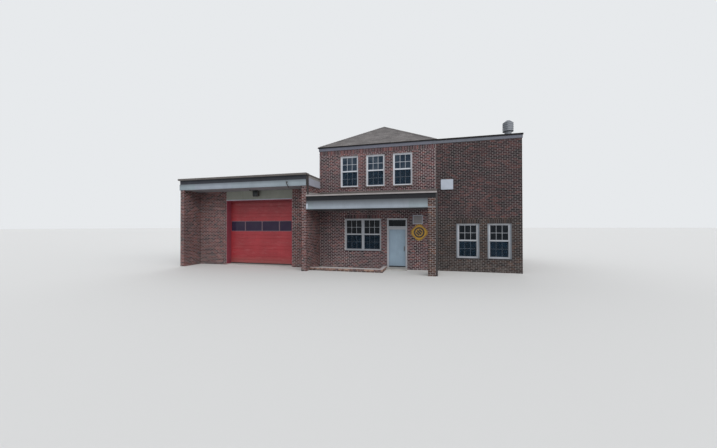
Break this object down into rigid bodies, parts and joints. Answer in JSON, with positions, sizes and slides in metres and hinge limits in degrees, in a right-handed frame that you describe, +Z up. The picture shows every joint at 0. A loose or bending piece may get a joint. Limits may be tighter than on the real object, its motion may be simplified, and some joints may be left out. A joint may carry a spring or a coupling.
{
  "type": "fire station building",
  "caption": "Small brick fire station: engine bay with a ribbed sectional door, porch and hinged entrance door, hip roof and flat roof.",
  "frame": {"origin": "the middle of the building's overall box, on the ground", "axes": "+X to the right as seen from the street, +Y from the street towards the back, +Z up"},
  "size_m": [18.71, 12.15, 8.88],
  "materials": {
    "brick": "red-brown brick in running bond with light mortar, weathered",
    "concrete": "grey concrete, worn",
    "light_fascia": "light blue-grey painted board, weathered",
    "dark_band": "dark grey painted metal band",
    "drip_metal": "pale metal edge, dull",
    "dark_metal": "dark brown-black painted metal",
    "roof_sheet": "pale gravelled roof covering",
    "shingles": "brown-grey roof shingles on boarding",
    "red_door": "red painted ribbed steel, slightly faded",
    "window_white": "white painted window frames",
    "glass": "dark window glass",
    "casing_grey": "light blue-grey painted casing",
    "cream_panel": "cream-green painted panel, stained",
    "soffit_paint": "grey painted soffit boards",
    "pale_door": "pale blue-green painted steel door",
    "galvanised": "galvanised sheet, dull",
    "sign_yellow": "yellow sign plate with a plain dark figure",
    "panel_white": "white and grey plates",
    "hardware": "dark steel handle and hinges"
  },
  "bodies": {
    "building": {"annexe_coping": "dark_metal", "annexe_front_wall": "brick", "annexe_right_wall": "brick", "annexe_roof": "roof_sheet", "annexe_window_casings": "casing_grey", "back_wall": "brick", "bay_lamp": "dark_metal", "downspouts": "dark_metal", "entrance_frame": "window_white", "entrance_step": "concrete", "front_window_frames": "window_white", "front_window_glass": "glass", "garage_back_wall": "brick", "garage_door": "red_door", "garage_door_frame": "red_door", "garage_door_glass": "glass", "garage_drip_edge": "drip_metal", "garage_fascia": "light_fascia", "garage_floor": "concrete", "garage_front_wall": "brick", "garage_header_panel": "cream_panel", "garage_lintel": "brick", "garage_roof": "roof_sheet", "garage_side_walls": "brick", "ground_floor": "concrete", "hip_roof": "shingles", "house_front_wall_lower": "brick", "house_front_wall_upper": "brick", "house_left_wall": "brick", "main_fascia": "light_fascia", "planter_wall": "brick", "porch_drip_edge": "drip_metal", "porch_fascia": "light_fascia", "porch_flashing": "drip_metal", "porch_pier": "brick", "porch_roof": "roof_sheet", "roof_beam": "soffit_paint", "roof_vent": "galvanised", "side_and_back_window_frames": "window_white", "side_and_back_window_glass": "glass", "soffits": "soffit_paint", "transom_glass": "glass", "upper_fascia_bands": "dark_band", "upper_floor": "concrete", "upper_window_sills": "brick", "wall_panels": "panel_white", "yellow_sign": "sign_yellow"},
    "entrance_door": {"entrance_door": "pale_door", "door_hardware": "hardware"}
  },
  "joints": [
    {"name": "entrance_hinge", "type": "hinge", "parent": "building", "child": "entrance_door", "pos_m": [2.7275, -3.9067, 1.135], "axis": [0, 0, 1], "range_deg": [0, 100]}
  ]
}
